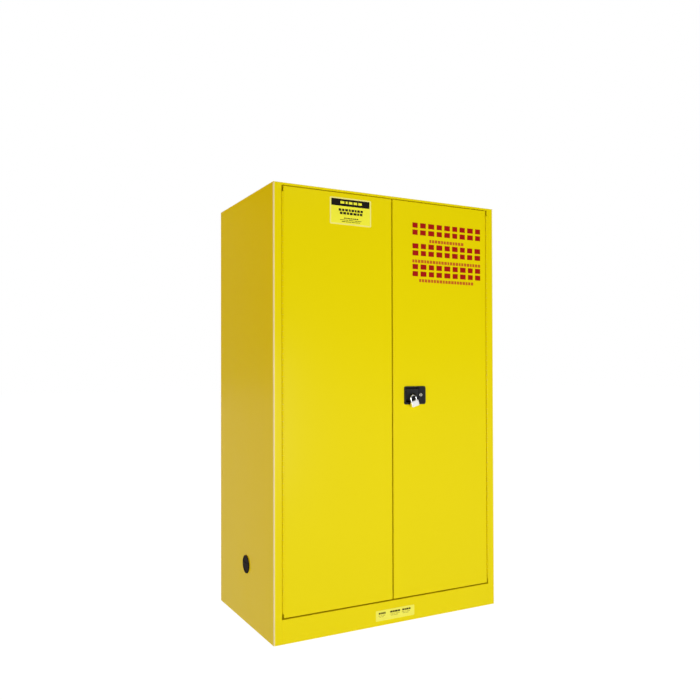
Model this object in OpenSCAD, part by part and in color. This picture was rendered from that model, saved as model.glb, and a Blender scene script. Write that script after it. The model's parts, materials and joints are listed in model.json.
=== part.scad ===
// Full-height flammable storage cabinet: double-wall steel, two doors, three-point lock, two shelves.
// Frame: origin at the bottom centre, +X right, +Y to the back, +Z up. Millimetres.

/* [Cabinet] */
// Overall width of the cabinet body
body_w = 990; // [800:10:1100]
// Overall depth of the cabinet body
body_d = 590; // [460:10:860]
// Overall height of the cabinet body
body_h = 1650; // [1500:10:1800]
// Distance between the outer and the inner skin
wall_gap = 38; // [36:1:45]
// Steel sheet thickness
sheet = 1.2; // [1.0:0.1:1.5]

/* [Front frame] */
// Width of the front stile beside each door
stile_w = 32; // [28:1:34]
// Height of the base sill under the doors
sill_h = 88; // [80:1:110]
// Height of the rim above the doors
rim_h = 8; // [7:1:10]

/* [Doors] */
// Thickness of a double-wall door
door_t = 38; // [36:1:42]
// Gap where the two doors meet
door_gap = 5; // [4:0.5:6]
// Gap under the doors
door_gap_bottom = 5; // [4:0.5:6]
// Gap above the doors
door_gap_top = 3; // [3:0.5:4]

/* [Hinges] */
// Outer diameter of the hinge knuckles
barrel_d = 6.4; // [6:0.1:6.6]
// Diameter of the hinge pin
hinge_pin_d = 3; // [2.5:0.1:3.2]
// Spacing of the knuckles along the hinge
knuckle_pitch = 20.1; // [20:0.1:25]
// Number of knuckles, odd so that both ends are on the frame
knuckle_count = 75; // [51:2:75]

/* [Handle] */
// Width of the handle plate
plate_w = 98; // [96:1:104]
// Height of the handle plate
plate_h = 70; // [68:1:80]
// Centre of the handle plate from the cabinet's middle
handle_x = 102; // [98:1:110]
// Centre height of the handle plate
handle_z = 876.5; // [820:0.5:960]

/* [Lock] */
// Radius from the key axis to each crank pin
crank_r = 12; // [11:0.5:12]
// Diameter of the vertical locking rods
rod_d = 8; // [6:0.5:8]

/* [Shelves] */
// Heights of the two shelves
shelf_heights = [600, 1105];
// Height of a shelf's raised rim
shelf_rim = 30; // [20:1:40]

/* [Vents] */
// Height of the low vent's centre, on the left side
vent_low_z = 226; // [200:1:260]
// Height of the high vent's centre, on the right side
vent_high_z = 1480; // [1400:1:1500]
// Vent centre's distance from the middle of the depth
vent_y = -18; // [-40:1:40]
// Diameter of the vent cap
vent_cap_d = 68; // [64:1:76]

/* [Hidden] */
$fn = 48;

yellow = "#e3c813";
galvanised = "#b9bcbb";
zinc = "#c9ccd0";
die_cast = "#1b1c1e";

// Planes of the body
side_x = body_w / 2;
front_y = -body_d / 2;
back_y = body_d / 2;
liner_x = side_x - wall_gap;
liner_back_y = back_y - wall_gap;
liner_top_z = body_h - wall_gap;
jamb_x = side_x - stile_w;
rim_z = body_h - rim_h;
door_back_y = front_y + door_t + sheet;
bumper_gap = 2.8;
stop_y = door_back_y + bumper_gap;
liner_front_y = stop_y + sheet;
bottom_z = 52;
sump_z = bottom_z + wall_gap;
sump_wall_h = 50;
stop_overlap = 22;

// Hinges: the axis stands in front of the body, in the middle of the gap beside the door
hinge_gap = 7;
hinge_proud = 1.5;
hinge_x = jamb_x - hinge_gap / 2;
hinge_y = front_y - hinge_proud;
hinge_len = knuckle_pitch * knuckle_count;
hinge_z = 110;
knuckle_clear = 0.6;
pin_clear = 0.05;
leaf_t = 1.2;
leaf_d = 24.5;
leaf_front_y = front_y + 2.5;

// Doors
door_z = sill_h + door_gap_bottom;
door_top_z = rim_z - door_gap_top;
door_hinge_x = jamb_x - hinge_gap;
door_mid_x = door_gap / 2;

// Handle
plate_t = 4;
plate_r = 9;
housing_face_y = front_y - plate_t;
recess_x = [handle_x - 44, handle_x + 16];
recess_z = [handle_z - 28.5, handle_z + 30.5];
recess_d = 21;
cup_wall = 1.5;
paddle_x = [recess_x[0] + 2, recess_x[1] - 2];
paddle_z = [handle_z - 14.5, handle_z + 25.5];
paddle_t = 3;
paddle_face_y = housing_face_y - 1;
paddle_axis_z = handle_z + 20.5;
paddle_axis_y = front_y + 2;
paddle_pin_d = 4;
ear_w = 4;

// Key, cam and bolts
key_x = handle_x + 25;
key_z = handle_z + 2.5;
key_d = 14;
key_tail_d = 8;
cam_y = front_y + 23.5;
cam_t = 2.5;
cam_r = 17;
crank_pin_d = 4.8;
bolt_y = cam_y + cam_t + 1;
bolt_t = 3;
yoke_y = bolt_y + bolt_t + 1;
yoke_t = 3;
rod_y = yoke_y + yoke_t / 2;
crank_off = crank_r * cos(45);
slot_clear = 0.7;
yoke_half = crank_pin_d / 2 + slot_clear + 3;
rod_top_x = key_x - 14;
rod_bottom_x = key_x + 25;
bolt_z = [key_z - 31, key_z - 19];
bolt_tip_x = door_mid_x + 3;
keeper_hole = 10;
keeper_t = 3;
rod_top_tip_z = door_top_z - 8.5;
rod_bottom_tip_z = door_z + 5;

// Padlock: the bow hangs tilted, with the weight under the paddle's eye
eye_x = handle_x - 11;
eye_z = handle_z - 0.1;
eye_y = paddle_face_y - 11;
eye_r = 8;
eye_hole_r = 5.6;
eye_t = 2.4;
shackle_d = 6;
shackle_r = 12;
lock_tilt = 17;
bow_angle = 60;
bow_x = eye_x - shackle_r * cos(bow_angle);
bow_z = eye_z - shackle_r * sin(bow_angle);
lock_w = 34;
lock_h = 23;
lock_t = 12;
lock_top = 10;
leg_grip = 10;

// Shelving
standard_w = 20;
standard_t = 2;
standard_z = [sump_z + sump_wall_h + 20, liner_top_z - 40];
standard_ys = [liner_front_y + 50, liner_back_y - 52];
slot_pitch = 50;
clip_l = 18;
clip_h = 16;
shelf_x = liner_x - sheet - standard_t - 3;
shelf_y = [liner_front_y + 16, liner_back_y - 8];

// Vents
throat_d = 56;
throat_bore_d = 50;
vent_flange_d = 72;
cap_t = 3;
vent_flange_t = 1;
pocket_depth = 1.2;
plug_d = throat_bore_d - 0.8;
plug_l = 12;
plug_wall = 2.5;
grip_w = 12;

// Feet
foot_inset = 45;
foot_pad_d = 40;
foot_lift = 1;
stud_d = 10;
bracket_z = 30;
bracket_t = 4;
bracket_w = 90;

// Grounding stud, as long behind the body as the padlock's eye stands in front of it
ground_x = side_x - 120;
ground_z = 160;
ground_l = front_y - (eye_y - eye_r);
ground_d = 8;
ground_shank_d = 10;
ground_nut_t = 6;

// Helpers

// A box between two corners
module block(lo, hi) { translate(lo) cube(hi - lo); }

// A plate in the XZ plane with round corners, its back on y = 0 and its front at -t
module rounded_plate(w, h, r, t) {
    rotate([90, 0, 0]) linear_extrude(t) {
        square([w - 2 * r, h], center = true);
        square([w, h - 2 * r], center = true);
        for (sx = [-1, 1], sz = [-1, 1]) translate([sx * (w / 2 - r), sz * (h / 2 - r)]) circle(r);
    }
}

// A cylinder along X from x = 0, and one along Y from y = 0
module rod_x(d, l) { rotate([0, 90, 0]) cylinder(d = d, h = l); }
module rod_along_y(d, l) { rotate([-90, 0, 0]) cylinder(d = d, h = l); }

// A left-hand piece made right-hand
module mirrored() { mirror([1, 0, 0]) children(); }

// Outer shell

module side_left() {
    color(yellow) difference() {
        union() {
            block([-side_x, front_y, 0], [-side_x + sheet, back_y, body_h - sheet]);
            block([-side_x, front_y, 0], [-jamb_x, front_y + sheet, body_h - sheet]);
            block([-jamb_x - sheet, front_y, bottom_z + sheet], [-jamb_x, stop_y, body_h - sheet]);
        }
        children();
    }
}

module vent_hole(z) { translate([-side_x - 1, vent_y, z]) rod_x(throat_d, wall_gap + sheet + 2); }

module outer_side_left() { side_left() vent_hole(vent_low_z); }

module outer_side_right() { mirrored() side_left() vent_hole(vent_high_z); }

module outer_back() {
    color(yellow) difference() {
        block([-side_x + sheet, back_y - sheet, 0], [side_x - sheet, back_y, body_h - sheet]);
        translate([ground_x, back_y - 5, ground_z]) rod_along_y(ground_shank_d, 10);
    }
}

module outer_top() {
    color(yellow) {
        block([-side_x, front_y, body_h - sheet], [side_x, back_y, body_h]);
        difference() {
            block([-jamb_x, front_y, rim_z], [jamb_x, stop_y, body_h - sheet]);
            block([-jamb_x - 1, front_y + sheet, rim_z + sheet], [jamb_x + 1, stop_y + 1, body_h]);
            keeper_cut(rod_top_x, rim_z);
        }
    }
}

module outer_bottom() {
    color(yellow) block([-side_x + sheet, front_y + sheet, bottom_z],
                        [side_x - sheet, back_y - sheet, bottom_z + sheet]);
}

module base_sill() {
    color(yellow) {
        block([-jamb_x, front_y, 0], [jamb_x, front_y + sheet, sill_h]);
        difference() {
            block([-jamb_x, front_y + sheet, sill_h - sheet], [jamb_x, stop_y, sill_h]);
            keeper_cut(rod_bottom_x, sill_h);
        }
    }
}

// Square hole for a locking rod
module keeper_cut(x, z) {
    block([x - keeper_hole / 2, rod_y - keeper_hole / 2, z - 10],
          [x + keeper_hole / 2, rod_y + keeper_hole / 2, z + 10]);
}

// Inner liner

module liner_side_left(vent_z) {
    color(yellow) difference() {
        block([-liner_x, liner_front_y, sump_z], [-liner_x + sheet, liner_back_y, liner_top_z]);
        vent_hole(vent_z);
    }
}

module inner_side_left() { liner_side_left(vent_low_z); }

module inner_side_right() { mirrored() liner_side_left(vent_high_z); }

module inner_back() {
    color(yellow) block([-liner_x + sheet, liner_back_y - sheet, sump_z],
                        [liner_x - sheet, liner_back_y, liner_top_z]);
}

module inner_top() {
    color(yellow) block([-liner_x, liner_front_y, liner_top_z], [liner_x, liner_back_y, liner_top_z + sheet]);
}

module sump_pan() {
    x = liner_x - sheet;
    y = liner_back_y - sheet;
    color(yellow) difference() {
        block([-x, liner_front_y, sump_z], [x, y, sump_z + sump_wall_h]);
        block([-x + sheet, liner_front_y + sheet, sump_z + sheet], [x - sheet, y - sheet, sump_z + sump_wall_h + 1]);
    }
}

module door_stop_frame() {
    x = jamb_x + sheet;
    in_x = jamb_x - stop_overlap;
    color(yellow) difference() {
        block([-x, stop_y, sill_h - sheet], [x, liner_front_y, rim_z + sheet]);
        block([-in_x, stop_y - 1, sill_h + stop_overlap + 2], [in_x, liner_front_y + 1, liner_top_z - 12]);
    }
}

// A hollow channel between the two skins
module spacer(lo, hi, axis_z) {
    wall = 1.5;
    inset = axis_z ? [wall, wall, -1] : [wall, -1, wall];
    difference() {
        block(lo, hi);
        block(lo + inset, hi - inset);
    }
}

module wall_spacers() {
    half = 15;
    top_z = liner_top_z - 60;
    color(galvanised) {
        for (y = [-130, 130], s = [0, 1]) mirror([s, 0, 0])
            spacer([-side_x + sheet, y - half, sump_z], [-liner_x, y + half, top_z], true);
        for (x = [-200, 200]) {
            spacer([x - half, liner_back_y, sump_z], [x + half, back_y - sheet, top_z], true);
            spacer([x - half, -150, liner_top_z + sheet], [x + half, 150, body_h - sheet], false);
        }
    }
}

// Shelving

module shelf_standards() {
    x = liner_x - sheet;
    count = floor((standard_z[1] - standard_z[0]) / slot_pitch);
    color(galvanised) for (s = [0, 1], y = standard_ys) mirror([s, 0, 0]) difference() {
        block([-x, y - standard_w / 2, standard_z[0]], [-x + standard_t, y + standard_w / 2, standard_z[1]]);
        for (i = [0 : count - 1]) translate([-x - 1, y - 2, standard_z[0] + 20 + i * slot_pitch])
            cube([standard_t + 2, 4, 14]);
    }
}

// A folded clip that hooks on a standard and carries a shelf corner
module clip(z) {
    rotate([90, 0, 0]) linear_extrude(standard_w - 4, center = true)
        polygon([[0, z], [clip_l, z], [clip_l, z - 3], [3, z - clip_h], [0, z - clip_h]]);
}

module shelf_clips() {
    color(galvanised) for (z = shelf_heights, y = standard_ys, s = [0, 1]) mirror([s, 0, 0])
        translate([-liner_x + sheet + standard_t, y, 0]) clip(z);
}

module shelf(z) {
    color(galvanised) difference() {
        block([-shelf_x, shelf_y[0], z], [shelf_x, shelf_y[1], z + shelf_rim]);
        block([-shelf_x + sheet, shelf_y[0] + sheet, z + sheet],
              [shelf_x - sheet, shelf_y[1] - sheet, z + shelf_rim + 1]);
    }
}

module shelf_lower() { shelf(shelf_heights[0]); }

module shelf_upper() { shelf(shelf_heights[1]); }

// Hinges, left-hand: odd knuckles are the frame's, even ones the door's

module knuckles(first, wall_x, plate_x) {
    difference() {
        union() {
            block([plate_x, leaf_front_y, hinge_z], [plate_x + leaf_t, leaf_front_y + leaf_d, hinge_z + hinge_len]);
            for (i = [first : 2 : knuckle_count - 1]) {
                z = hinge_z + i * knuckle_pitch + knuckle_clear / 2;
                h = knuckle_pitch - knuckle_clear;
                translate([-hinge_x, hinge_y, z]) cylinder(d = barrel_d, h = h);
                block([wall_x, hinge_y, z], [wall_x + leaf_t, leaf_front_y, z + h]);
            }
        }
        translate([-hinge_x, hinge_y, hinge_z - 1]) cylinder(d = hinge_pin_d + 2 * pin_clear, h = hinge_len + 2);
    }
}

module frame_leaf_left() { color(yellow) knuckles(0, -jamb_x + 0.3, -jamb_x); }

module door_leaf_left() { color(yellow) knuckles(1, -door_hinge_x - leaf_t - 0.3, -door_hinge_x - leaf_t); }

module pin_left() {
    color(zinc) translate([-hinge_x, hinge_y, hinge_z]) cylinder(d = hinge_pin_d, h = hinge_len);
}

module hinge_frame_leaf_left() { frame_leaf_left(); }

module hinge_frame_leaf_right() { mirrored() frame_leaf_left(); }

module hinge_door_leaf_left() { door_leaf_left(); }

module hinge_door_leaf_right() { mirrored() door_leaf_left(); }

module hinge_pin_left() { pin_left(); }

module hinge_pin_right() { mirrored() pin_left(); }

// Doors, right-hand: a tray for the front and its four edges, closed by a flat inner panel

module door_tray() {
    color(yellow) difference() {
        block([door_mid_x, front_y, door_z], [door_hinge_x, front_y + door_t, door_top_z]);
        block([door_mid_x + sheet, front_y + sheet, door_z + sheet],
              [door_hinge_x - sheet, front_y + door_t + 1, door_top_z - sheet]);
        bolt_cut();
        children();
    }
}

module door_back_panel() {
    color(yellow) block([door_mid_x, front_y + door_t, door_z], [door_hinge_x, door_back_y, door_top_z]);
}

// Slot for the centre bolt through the meeting edges
module bolt_cut() {
    block([-20, bolt_y - 1, bolt_z[0] - 1.5], [20, bolt_y + bolt_t + 1, bolt_z[1] + 1.5]);
}

module door_outer_left() { mirrored() door_tray(); }

module door_inner_left() { mirrored() door_back_panel(); }

module door_outer_right() {
    door_tray() {
        block([handle_x - plate_w / 2 + 2.5, front_y - 1, handle_z - plate_h / 2 + 4],
              [handle_x + plate_w / 2 - 4, front_y + sheet + 1, handle_z + plate_h / 2 - 2.5]);
        keeper_cut(rod_top_x, door_top_z);
        keeper_cut(rod_bottom_x, door_z);
    }
}

module door_inner_right() { door_back_panel(); }

module centre_keeper() {
    color(zinc) difference() {
        block([-door_mid_x - sheet - keeper_t, front_y + sheet, bolt_z[0] - 14],
              [-door_mid_x - sheet, front_y + door_t, bolt_z[1] + 14]);
        bolt_cut();
    }
}

module bolt_keepers() {
    half = 16;
    color(zinc) difference() {
        union() {
            block([rod_top_x - half, front_y + sheet + 8, rim_z + sheet],
                  [rod_top_x + half, stop_y, rim_z + sheet + keeper_t]);
            block([rod_bottom_x - half, front_y + sheet, sill_h - sheet - keeper_t],
                  [rod_bottom_x + half, stop_y, sill_h - sheet]);
        }
        keeper_cut(rod_top_x, rim_z);
        keeper_cut(rod_bottom_x, sill_h);
    }
}

// Labels and markings: plain plates and bars

module door_label() {
    color("#fbf23a") translate([-182, front_y, 1570.5]) rounded_plate(176, 101, 5, 0.5);
}

module base_label() {
    color("#f1e98a") translate([9, front_y, 38]) rounded_plate(174, 40, 3, 0.5);
}

module marking_row(x0, x1, z0, z1) { block([x0, front_y - 0.3, z0], [x1, front_y, z1]); }

module door_marking() {
    color("#b01a1a") for (z = [1346, 1428, 1510]) marking_row(94, 428, z, z + 48);
    color("#b01a1a") for (row = [[125, 391, 1324], [93, 428, 1400], [174, 342, 1483]])
        marking_row(row[0], row[1], row[2], row[2] + 12);
}

// Handle

module handle_housing() {
    color(die_cast) difference() {
        union() {
            translate([handle_x, front_y, handle_z]) rounded_plate(plate_w, plate_h, plate_r, plate_t);
            block([recess_x[0] - cup_wall, front_y, recess_z[0] - cup_wall],
                  [recess_x[1] + cup_wall, housing_face_y + recess_d + 2, recess_z[1] + cup_wall]);
            translate([key_x, front_y, key_z]) rod_along_y(key_d + 6, 16);
        }
        block([recess_x[0], housing_face_y - 1, recess_z[0]], [recess_x[1], housing_face_y + recess_d, recess_z[1]]);
        translate([key_x, housing_face_y - 1, key_z]) rod_along_y(key_d + 2 * pin_clear, 40);
        translate([recess_x[0] - 10, paddle_axis_y, paddle_axis_z]) rod_x(paddle_pin_d, 80);
    }
}

module paddle_pin() {
    color(zinc) translate([recess_x[0] - cup_wall, paddle_axis_y, paddle_axis_z])
        rod_x(paddle_pin_d, recess_x[1] - recess_x[0] + 2 * cup_wall);
}

module paddle_spring() {
    wire = 1.4;
    color(zinc) translate([handle_x - 20, paddle_axis_y, paddle_axis_z]) rotate([0, 90, 0])
        for (i = [0 : 5]) translate([0, 0, i * wire])
            rotate_extrude() translate([paddle_pin_d / 2 + 0.3 + wire / 2, 0]) circle(d = wire);
}

module paddle() {
    color(die_cast) difference() {
        union() {
            block([paddle_x[0], paddle_face_y, paddle_z[0]], [paddle_x[1], paddle_face_y + paddle_t, paddle_z[1]]);
            block([paddle_x[0], paddle_face_y, paddle_z[0]], [paddle_x[1], paddle_face_y + 12, paddle_z[0] + 3]);
            for (x = [paddle_x[0] + 2, paddle_x[1] - 2 - ear_w]) {
                translate([x, paddle_axis_y, paddle_axis_z]) rod_x(9, ear_w);
                block([x, paddle_face_y + 1, paddle_axis_z - 4.5], [x + ear_w, paddle_axis_y, paddle_axis_z + 4.5]);
            }
            translate([eye_x - eye_t / 2, eye_y, eye_z]) rod_x(2 * eye_r, eye_t);
            block([eye_x - eye_t / 2, eye_y, eye_z - eye_r], [eye_x + eye_t / 2, paddle_face_y + 1, eye_z + eye_r]);
        }
        translate([eye_x - 10, eye_y, eye_z]) rod_x(2 * eye_hole_r, 20);
        translate([paddle_x[0] - 1, paddle_axis_y, paddle_axis_z]) rod_x(paddle_pin_d + 0.12, 80);
    }
}

// Three-point lock: the cam's crank pins move the rods and the centre bolt

module key_cylinder() {
    color(zinc) difference() {
        union() {
            translate([key_x, housing_face_y - 3, key_z]) rod_along_y(key_d, cam_y - housing_face_y + 2);
            translate([key_x, cam_y - 1, key_z]) rod_along_y(key_tail_d, cam_t + 1);
        }
        block([key_x - 0.9, housing_face_y - 4, key_z - 4.5], [key_x + 0.9, housing_face_y + 5, key_z + 4.5]);
    }
}

// A crank pin on the cam at an angle seen from the front, up to a plane behind the cam
module crank_pin(angle, end_y) {
    translate([key_x + crank_r * cos(angle), cam_y + 1, key_z + crank_r * sin(angle)])
        rod_along_y(crank_pin_d, end_y - cam_y - 1);
}

module lock_cam() {
    color(zinc) {
        difference() {
            translate([key_x, cam_y, key_z]) rod_along_y(2 * cam_r, cam_t);
            translate([key_x, cam_y - 1, key_z]) rod_along_y(key_tail_d, cam_t + 2);
        }
        crank_pin(225, yoke_y + yoke_t + 0.5);
        crank_pin(45, yoke_y + yoke_t + 0.5);
        crank_pin(-45, bolt_y + bolt_t + 0.4);
    }
}

// A slot that a crank pin slides in, across the rod's travel
module yoke_slot(x0, x1, z) {
    half = crank_pin_d / 2 + slot_clear;
    block([x0 - half, yoke_y - 1, z - half], [x1 + half, yoke_y + yoke_t + 1, z + half]);
}

module rod_top() {
    pin_z = key_z - crank_off;
    left = key_x - crank_r;
    color(zinc) difference() {
        union() {
            block([left - yoke_half, yoke_y, pin_z - yoke_half],
                  [key_x - crank_off + yoke_half, yoke_y + yoke_t, pin_z + yoke_half]);
            translate([rod_top_x, rod_y, pin_z + yoke_half - 2])
                cylinder(d = rod_d, h = rod_top_tip_z - pin_z - yoke_half + 2);
        }
        yoke_slot(left, key_x - crank_off, pin_z);
    }
}

module rod_bottom() {
    pin_z = key_z + crank_off;
    right = key_x + crank_r;
    color(zinc) difference() {
        union() {
            block([key_x + crank_off - yoke_half, yoke_y, pin_z - yoke_half],
                  [rod_bottom_x + rod_d / 2, yoke_y + yoke_t, pin_z + yoke_half]);
            translate([rod_bottom_x, rod_y, rod_bottom_tip_z])
                cylinder(d = rod_d, h = pin_z - rod_bottom_tip_z);
        }
        yoke_slot(key_x + crank_off, right, pin_z);
    }
}

module centre_bolt() {
    pin_x = key_x + crank_off;
    half = crank_pin_d / 2 + slot_clear;
    slot_z = [key_z - crank_r - half, key_z - crank_off + half];
    color(zinc) difference() {
        union() {
            block([bolt_tip_x, bolt_y, bolt_z[0]], [pin_x + yoke_half, bolt_y + bolt_t, bolt_z[1]]);
            block([pin_x - yoke_half, bolt_y, bolt_z[0]], [pin_x + yoke_half, bolt_y + bolt_t, slot_z[1] + 3]);
        }
        block([pin_x - half, bolt_y - 1, slot_z[0]], [pin_x + half, bolt_y + bolt_t + 1, slot_z[1]]);
    }
}

// Guide blocks on the door's inner panel
module rod_guides() {
    y1 = front_y + door_t;
    h = 12;
    color(galvanised) difference() {
        union() {
            for (z = [1000, 1300, door_top_z - 60])
                block([rod_top_x - 9, rod_y - 8, z], [rod_top_x + 9, y1, z + h]);
            for (z = [700, 400, door_z + 50])
                block([rod_bottom_x - 9, rod_y - 8, z], [rod_bottom_x + 9, y1, z + h]);
            for (x = [24, 84])
                block([x, bolt_y - 3, bolt_z[0] - 4], [x + h, y1, bolt_z[1] + 4]);
        }
        translate([rod_top_x, rod_y, 900]) cylinder(d = rod_d + 0.6, h = 800);
        translate([rod_bottom_x, rod_y, door_z]) cylinder(d = rod_d + 0.6, h = 750);
        block([0, bolt_y - 0.4, bolt_z[0] - 0.4], [110, bolt_y + bolt_t + 0.4, bolt_z[1] + 0.4]);
    }
}

// Padlock

// Places children in the tilted frame of the padlock, its bow's centre at the origin
module in_lock_frame() {
    translate([bow_x, eye_y, bow_z]) rotate([0, -lock_tilt, 0]) children();
}

module padlock_shackle() {
    leg = lock_top + leg_grip;
    color(zinc) in_lock_frame() {
        rotate([90, 0, 0]) rotate_extrude(angle = 180) translate([shackle_r, 0]) circle(d = shackle_d);
        for (s = [-1, 1]) translate([s * shackle_r, 0, -leg]) cylinder(d = shackle_d, h = leg);
    }
}

module padlock_body() {
    color(zinc) in_lock_frame() difference() {
        translate([0, lock_t / 2, -lock_top - lock_h / 2]) rounded_plate(lock_w, lock_h, 4, lock_t);
        for (s = [-1, 1]) translate([s * shackle_r, 0, -lock_top - leg_grip - 1])
            cylinder(d = shackle_d + 0.15, h = leg_grip + 2);
        translate([0, 0, -lock_top - lock_h - 1]) cylinder(d = 9, h = 4);
    }
}

// Vents, left-hand

module throat_left(z) {
    color(yellow) translate([-side_x, vent_y, z]) difference() {
        union() {
            translate([-vent_flange_t, 0, 0]) rod_x(throat_d, wall_gap + sheet + 2 + vent_flange_t);
            translate([-vent_flange_t, 0, 0]) rod_x(vent_flange_d, vent_flange_t);
        }
        translate([-vent_flange_t - 1, 0, 0]) rod_x(throat_bore_d, wall_gap + 12);
    }
}

// Perforated disc of the flame arrester, at the inner end of the throat
module screen_left(z) {
    holes = 3;
    pitch = 7;
    color(galvanised) translate([-liner_x - 4, vent_y, z]) difference() {
        rod_x(throat_bore_d, 1.5);
        for (i = [-holes : holes], k = [-holes : holes]) if (norm([i, k]) * pitch < throat_bore_d / 2 - 3)
            translate([-1, i * pitch, k * pitch]) rod_x(4.5, 4);
    }
}

// Bung, hollow behind its face, with two shallow pockets that leave a grip across the middle
module cap_left(z) {
    face_x = -side_x - vent_flange_t - cap_t;
    plug_end_x = -side_x + plug_l;
    color(die_cast) translate([0, vent_y, z]) difference() {
        union() {
            translate([face_x, 0, 0]) rod_x(vent_cap_d, cap_t);
            translate([face_x + 1, 0, 0]) rod_x(plug_d, plug_end_x - face_x - 1);
        }
        difference() {
            translate([face_x - 1, 0, 0]) rod_x(vent_cap_d - 10, 1 + pocket_depth);
            block([face_x - 2, -vent_cap_d, -grip_w / 2], [face_x + 3, vent_cap_d, grip_w / 2]);
        }
        translate([face_x + cap_t, 0, 0]) rod_x(plug_d - 2 * plug_wall, plug_l + 5);
    }
}

module vent_throat_left() { throat_left(vent_low_z); }

module vent_throat_right() { mirrored() throat_left(vent_high_z); }

module vent_screen_left() { screen_left(vent_low_z); }

module vent_screen_right() { mirrored() screen_left(vent_high_z); }

module vent_cap_left() { cap_left(vent_low_z); }

module vent_cap_right() { mirrored() cap_left(vent_high_z); }

// Feet and grounding

module at_foot(sx, sy) { translate([sx * (side_x - foot_inset), sy * (back_y - foot_inset), 0]) children(); }

module foot(sx, sy) {
    color(zinc) at_foot(sx, sy) {
        translate([0, 0, foot_lift]) cylinder(d = foot_pad_d, h = 6);
        translate([0, 0, foot_lift + 6]) cylinder(d = 17, h = 7, $fn = 6);
        translate([0, 0, foot_lift + 13]) cylinder(d = stud_d, h = 36);
    }
}

module foot_front_left() { foot(-1, -1); }

module foot_front_right() { foot(1, -1); }

module foot_back_left() { foot(-1, 1); }

module foot_back_right() { foot(1, 1); }

module foot_brackets() {
    color(galvanised) for (sx = [-1, 1], sy = [-1, 1]) difference() {
        union() {
            block([sx * (side_x - sheet - bracket_w / 2) - bracket_w / 2,
                   sy * (back_y - sheet - bracket_w / 2) - bracket_w / 2, bracket_z],
                  [sx * (side_x - sheet - bracket_w / 2) + bracket_w / 2,
                   sy * (back_y - sheet - bracket_w / 2) + bracket_w / 2, bracket_z + bracket_t]);
            at_foot(sx, sy) translate([0, 0, bracket_z]) cylinder(d = 19, h = 10);
        }
        at_foot(sx, sy) translate([0, 0, bracket_z - 1]) cylinder(d = stud_d + 2 * pin_clear, h = 20);
    }
}

module ground_stud() {
    color("#b08d3c") translate([ground_x, back_y - 12, ground_z]) {
        rod_along_y(ground_shank_d, 12 + ground_nut_t);
        rod_along_y(ground_d, 12 + ground_l);
    }
}

// Nuts that clamp the stud's shank to the back panel
module ground_nuts() {
    color("#b08d3c") for (y = [back_y - sheet - ground_nut_t, back_y]) translate([ground_x, y, ground_z])
        difference() {
            rotate([-90, 0, 0]) cylinder(d = 18, h = ground_nut_t, $fn = 6);
            translate([0, -1, 0]) rod_along_y(ground_shank_d, ground_nut_t + 2);
        }
}

outer_side_left();
outer_side_right();
outer_back();
outer_top();
outer_bottom();
base_sill();
inner_side_left();
inner_side_right();
inner_back();
inner_top();
sump_pan();
door_stop_frame();
wall_spacers();
shelf_standards();
shelf_clips();
bolt_keepers();
foot_brackets();
ground_stud();
ground_nuts();
base_label();
hinge_frame_leaf_left();
hinge_frame_leaf_right();
hinge_pin_left();
hinge_pin_right();
vent_throat_left();
vent_screen_left();
vent_cap_left();
vent_throat_right();
vent_screen_right();
vent_cap_right();
shelf_lower();
shelf_upper();
door_outer_left();
door_inner_left();
hinge_door_leaf_left();
centre_keeper();
door_label();
door_outer_right();
door_inner_right();
hinge_door_leaf_right();
door_marking();
handle_housing();
paddle_pin();
paddle_spring();
rod_guides();
paddle();
key_cylinder();
lock_cam();
rod_top();
rod_bottom();
centre_bolt();
padlock_shackle();
padlock_body();
foot_front_left();
foot_front_right();
foot_back_left();
foot_back_right();
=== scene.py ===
"""Looks of a double-wall flammable storage cabinet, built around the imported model."""

import json
from math import cos, pi, radians, sin, tau

import bmesh
import bpy
from mathutils import Matrix, Vector

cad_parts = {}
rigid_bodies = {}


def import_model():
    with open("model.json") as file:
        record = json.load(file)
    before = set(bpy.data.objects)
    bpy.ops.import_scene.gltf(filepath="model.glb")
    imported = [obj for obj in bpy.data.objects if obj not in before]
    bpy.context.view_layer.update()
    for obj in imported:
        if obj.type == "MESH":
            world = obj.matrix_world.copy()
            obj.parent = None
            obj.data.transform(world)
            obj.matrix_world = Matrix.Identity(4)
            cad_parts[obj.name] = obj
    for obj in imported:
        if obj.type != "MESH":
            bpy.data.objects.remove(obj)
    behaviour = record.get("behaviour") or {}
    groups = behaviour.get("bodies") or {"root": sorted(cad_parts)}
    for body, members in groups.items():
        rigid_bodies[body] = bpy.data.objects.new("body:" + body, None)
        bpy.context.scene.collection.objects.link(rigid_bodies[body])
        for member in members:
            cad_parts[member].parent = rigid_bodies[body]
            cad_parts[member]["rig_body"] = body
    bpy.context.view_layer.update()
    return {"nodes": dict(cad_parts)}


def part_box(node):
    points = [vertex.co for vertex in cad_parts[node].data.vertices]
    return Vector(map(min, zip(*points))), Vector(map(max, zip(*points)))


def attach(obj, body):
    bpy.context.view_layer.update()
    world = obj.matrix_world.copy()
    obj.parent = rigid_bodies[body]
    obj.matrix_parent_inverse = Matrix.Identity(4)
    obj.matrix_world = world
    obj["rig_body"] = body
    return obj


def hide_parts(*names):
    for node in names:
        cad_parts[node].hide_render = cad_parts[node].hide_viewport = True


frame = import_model()
MM = 0.001

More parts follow.
